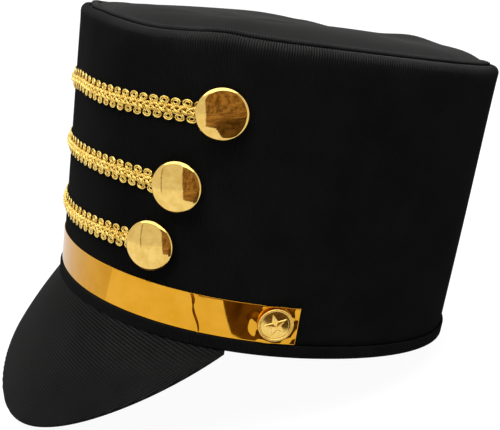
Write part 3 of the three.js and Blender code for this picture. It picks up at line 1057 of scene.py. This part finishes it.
def makeStarButton(side):
    sides = 352
    turn = tau * np.arange(sides) / sides
    outer, rim = star["radius"], star["rim"]
    top = star["back"] + star["thickness"]
    face = top - star["rimRise"]
    rope = 0.5 + 0.5 * np.cos(star["ropes"] * turn)
    rows = []

    def ring(radius, height):
        rows.append(np.column_stack([radius * np.cos(turn), radius * np.sin(turn), height + 0 * turn]))

    ring(0.00002 + 0 * turn, star["back"])
    ring(outer - 0.0008 + 0 * turn, star["back"])
    ring(outer - 0.0002 - 0.00012 * rope, star["back"] + 0.0004)
    for bend in np.linspace(-0.15, 1.0, 8) * math.pi:
        centre = outer - rim / 2
        wave = star["ropeDepth"] * (0.5 + 0.5 * np.cos(star["ropes"] * turn + star["ropeSlant"] * bend))
        height = face + (star["rimRise"] - wave) * max(0, math.sin(bend)) + min(0, bend) * 0.0006
        ring(centre + (rim / 2 - wave) * math.cos(bend), height)
    ring(outer - rim - 0.0002 + 0 * turn, face - 0.0001)
    ring(outer - rim - 0.00045 + 0 * turn, face + 0.00012)
    ring(outer - rim - 0.0007 + 0 * turn, face)
    for radius in np.linspace(outer - rim - 0.00085, 0.00002, 40):
        bulge = star["dome"] * (1 - (radius / (outer - rim)) ** 2)
        relief = starRelief(radius + 0 * turn, turn - math.pi / 2 - math.radians(star["turned"]))
        ring(radius + 0 * turn, face + bulge + relief)
    starAngle, height = starPlace()
    sign = 1 if side == "left" else -1
    place = seat(sign * math.radians(starAngle), height, 0, star["nod"])
    name = "starButton" + side.capitalize()
    return addRound(name, np.array(rows), place, starMetal, ["star_button_" + side])


makeCrownWall()
makeCrownTip()
makeWelt()
makeHem()
makePeak()
makeBand()
for row in braidRows:
    makeBraid(row)
for row in braidRows:
    for side in ("left", "right"):
        makeButton(row, side)
for side in ("left", "right"):
    makeStarButton(side)


# Camera, placed round the upright hat and tipped back with it

view = {
    "azimuth": 66.92,  # degrees, also elevation and roll
    "elevation": 11.81,
    "roll": 9.07,
    "distance": 0.46859,
    "targetAcross": -0.01804,
    "targetUp": 0.04397,
    "focal": 928.08,  # pixels of a picture 500 wide
    "pictureWidth": 500,
    "shiftX": 20.7,  # pixels too
    "shiftY": -14.8,
}


def wayOut(azimuth, elevation):
    level = math.cos(elevation)
    return Vector((math.sin(azimuth) * level, -math.cos(azimuth) * level, math.sin(elevation)))


def makeCamera():
    azimuth, elevation, roll = (math.radians(view[key]) for key in ("azimuth", "elevation", "roll"))
    back = wayOut(azimuth, elevation)
    right = Vector((math.cos(azimuth), math.sin(azimuth), 0))
    up = back.cross(right)
    turnedRight = right * math.cos(roll) + up * math.sin(roll)
    turnedUp = up * math.cos(roll) - right * math.sin(roll)
    eye = right * view["targetAcross"] + Vector((0, 0, view["targetUp"])) + back * view["distance"]
    place = Matrix((turnedRight, turnedUp, back)).transposed().to_4x4()
    place.translation = eye
    lens = bpy.data.cameras.new("camera")
    lens.sensor_width = 36
    lens.lens = view["focal"] / view["pictureWidth"] * lens.sensor_width
    lens.shift_x = view["shiftX"] / view["pictureWidth"]
    lens.shift_y = view["shiftY"] / view["pictureWidth"]
    lens.clip_start = 0.01
    camera = bpy.data.objects.new("camera", lens)
    camera.matrix_world = hatPlace @ place
    bpy.context.scene.collection.objects.link(camera)
    bpy.context.scene.camera = camera
    print("camera at", tuple(round(v, 3) for v in camera.matrix_world.translation))


# Floor, sky and lights

floorLook = {"size": 8, "dark": 0.03, "light": 0.04, "glow": 0.95, "sky": 0.2, "target": 0.09}
backdrop = {"radius": 7.8, "low": -0.1, "high": 30}
# degrees round and over the hat, metres, watts
lightRows = [
    {"name": "over", "azimuth": 0, "elevation": 82, "distance": 1.3, "size": 1.3, "power": 60},
    {"name": "left", "azimuth": -107, "elevation": 22, "distance": 1.3, "size": 0.9, "power": 11},
]
lightColour = (1, 0.99, 0.97)
# dark and light of each glow
pale = [(0.9, 0.885, 0.87), (0.94, 0.93, 0.92)]
brown = [(0.16, 0.08, 0.03), (0.46, 0.27, 0.12)]
shady = [(0.07, 0.035, 0.012), (0.16, 0.09, 0.035)]
seam = [(0.16, 0.12, 0.08), (0.34, 0.28, 0.2)]
# screens round the hat that only its shiny pieces see, from one angle to another
screenFoot = 0.001
screenRows = [
    {"name": "paleScreen", "start": -150, "end": 45, "radius": 1.6, "high": 1.6, "glow": pale},
    {"name": "brownScreen", "start": 45, "end": 114, "radius": 1.6, "high": 1.1, "glow": brown},
    {"name": "rightScreen", "start": 114, "end": 210, "radius": 1.6, "high": 1.6, "glow": pale},
    {"name": "darkGap", "start": 12.3, "end": 13.6, "radius": 0.9, "high": 1.2, "glow": seam},
]
# mats on the floor, and a ceiling, also seen only by the shiny pieces; corners go round each one
matRows = [
    {
        "name": "ceiling",
        "height": 1.6,
        "corners": [(-1.8, -1.8), (1.8, -1.8), (1.8, 1.8), (-1.8, 1.8)],
        "glow": pale,
        "strength": 2.8,
    },
    {
        "name": "warmMat",
        "height": 0.0006,
        "corners": [(-0.08, -0.3), (-1.4, -5), (-7, -4), (-0.28, -0.2)],
        "glow": [(0.92, 0.88, 0.83), (0.95, 0.93, 0.9)],
    },
    {
        "name": "greyMat",
        "height": 0.0008,
        "corners": [(-0.235, -0.283), (-4.7, -5.9), (-7, 0), (-2, 2), (-0.15, 0.1), (-0.13, -0.1)],
        "glow": [(0.84, 0.84, 0.86), (0.9, 0.9, 0.92)],
    },
    {
        "name": "floorGap",
        "height": 0.001,
        "corners": [(0.17, -0.78), (0.192, -0.88), (0.212, -0.876), (0.188, -0.775)],
        "glow": seam,
    },
    {
        "name": "farMat",
        "height": 0.0012,
        "corners": [
            (0.276, -0.276),
            (1.17, -1.17),
            (1.7, -0.4),
            (1.54, 0.7),
            (0.42, 0.17),
            (0.5, -0.1),
            (0.281, -0.182),
            (0.277, -0.233),
        ],
        "glow": brown,
    },
    {
        "name": "nearMat",
        "height": 0.0015,
        "corners": [
            (0.203, -0.101),
            (0.281, -0.178),
            (0.4, -0.2),
            (0.52, -0.1),
            (0.55, 0.14),
            (0.25, 0.04),
            (0.18, 0.018),
            (0.135, -0.002),
            (0.17, -0.05),
            (0.192, -0.078),
        ],
        "glow": shady,
    },
]


def facing(azimuth, elevation, distance, target):
    away = wayOut(math.radians(azimuth), math.radians(elevation))
    place = away.to_track_quat("Z", "Y").to_matrix().to_4x4()
    place.translation = target + away * distance
    return place


def curvedWall(angles, radius, low, high):
    # points and faces of a curved wall
    foot = [(radius * math.sin(a), -radius * math.cos(a)) for a in angles]
    points = [(x, y, low) for x, y in foot] + [(x, y, high) for x, y in foot]
    return points, gridFaces(2, len(foot), closedColumns=False)


def addScreen(name, points, faces, glow, strength=1.0, seen=False):
    mesh = bpy.data.meshes.new(name)
    mesh.from_pydata(points, [], faces)
    material, nodes, links, shader = newMaterial(name)
    blotch = addNode(nodes, "ShaderNodeTexNoise", Scale=7, Detail=6, Roughness=0.62)
    colour = ramp(nodes, [(0.4, glow[0]), (0.6, glow[1])])
    links.new(blotch.outputs["Fac"], colour.inputs["Fac"])
    links.new(colour.outputs["Color"], shader.inputs["Emission Color"])
    shader.inputs["Emission Strength"].default_value = strength
    shader.inputs["Base Color"].default_value = (0, 0, 0, 1)
    shader.inputs["Specular IOR Level"].default_value = 0
    mesh.materials.append(material)
    screen = bpy.data.objects.new(name, mesh)
    bpy.context.scene.collection.objects.link(screen)
    screen.visible_camera = seen
    screen.visible_glossy = not seen
    screen.visible_diffuse = False
    screen.visible_shadow = False


def makeStage():
    size = floorLook["size"]
    mesh = bpy.data.meshes.new("floor")
    corners = [(-size, -size, 0), (size, -size, 0), (size, size, 0), (-size, size, 0)]
    mesh.from_pydata(corners, [], [(0, 1, 2, 3)])
    floor = bpy.data.objects.new("floor", mesh)
    bpy.context.scene.collection.objects.link(floor)
    material, nodes, links, shader = newMaterial("paleFloor")
    speckle = addNode(nodes, "ShaderNodeTexNoise", Scale=3, Detail=2)
    colour = ramp(nodes, [(0.3, (floorLook["dark"],) * 3), (0.7, (floorLook["light"],) * 3)])
    links.new(speckle.outputs["Fac"], colour.inputs["Fac"])
    links.new(colour.outputs["Color"], shader.inputs["Base Color"])
    shader.inputs["Emission Color"].default_value = (1, 1, 1, 1)
    shader.inputs["Emission Strength"].default_value = floorLook["glow"]
    shader.inputs["Roughness"].default_value = 0.8
    mesh.materials.append(material)
    world = bpy.data.worlds.new("sky")
    world.use_nodes = True
    world.node_tree.nodes["Background"].inputs["Color"].default_value = (1, 1, 1, 1)
    world.node_tree.nodes["Background"].inputs["Strength"].default_value = floorLook["sky"]
    bpy.context.scene.world = world
    bpy.context.scene.view_settings.view_transform = "Standard"
    target = Vector((0, 0, floorLook["target"]))  # the lights look at the middle of the hat
    for row in lightRows:
        light = bpy.data.lights.new(row["name"], "AREA")
        light.shape = "RECTANGLE"
        light.size = light.size_y = row["size"]
        light.energy = row["power"]
        light.color = lightColour
        lamp = bpy.data.objects.new(row["name"], light)
        lamp.visible_glossy = False
        lamp.matrix_world = facing(row["azimuth"], row["elevation"], row["distance"], target)
        bpy.context.scene.collection.objects.link(lamp)
    for row in screenRows:
        angles = np.radians(np.linspace(row["start"], row["end"], 49))
        points, faces = curvedWall(angles, row["radius"], screenFoot, row["high"])
        addScreen(row["name"], points, faces, row["glow"])
    for row in matRows:
        points = [(x, y, row["height"]) for x, y in row["corners"]]
        face = list(range(len(points)))
        addScreen(row["name"], points, [face], row["glow"], row.get("strength", 1))
    # plain white wall far round the floor, for the camera alone
    around = np.linspace(0, tau, 97)
    points, faces = curvedWall(around, backdrop["radius"], backdrop["low"], backdrop["high"])
    addScreen("backdrop", points, faces, [(1, 1, 1), (1, 1, 1)], seen=True)
    print("stage set")


makeCamera()
makeStage()
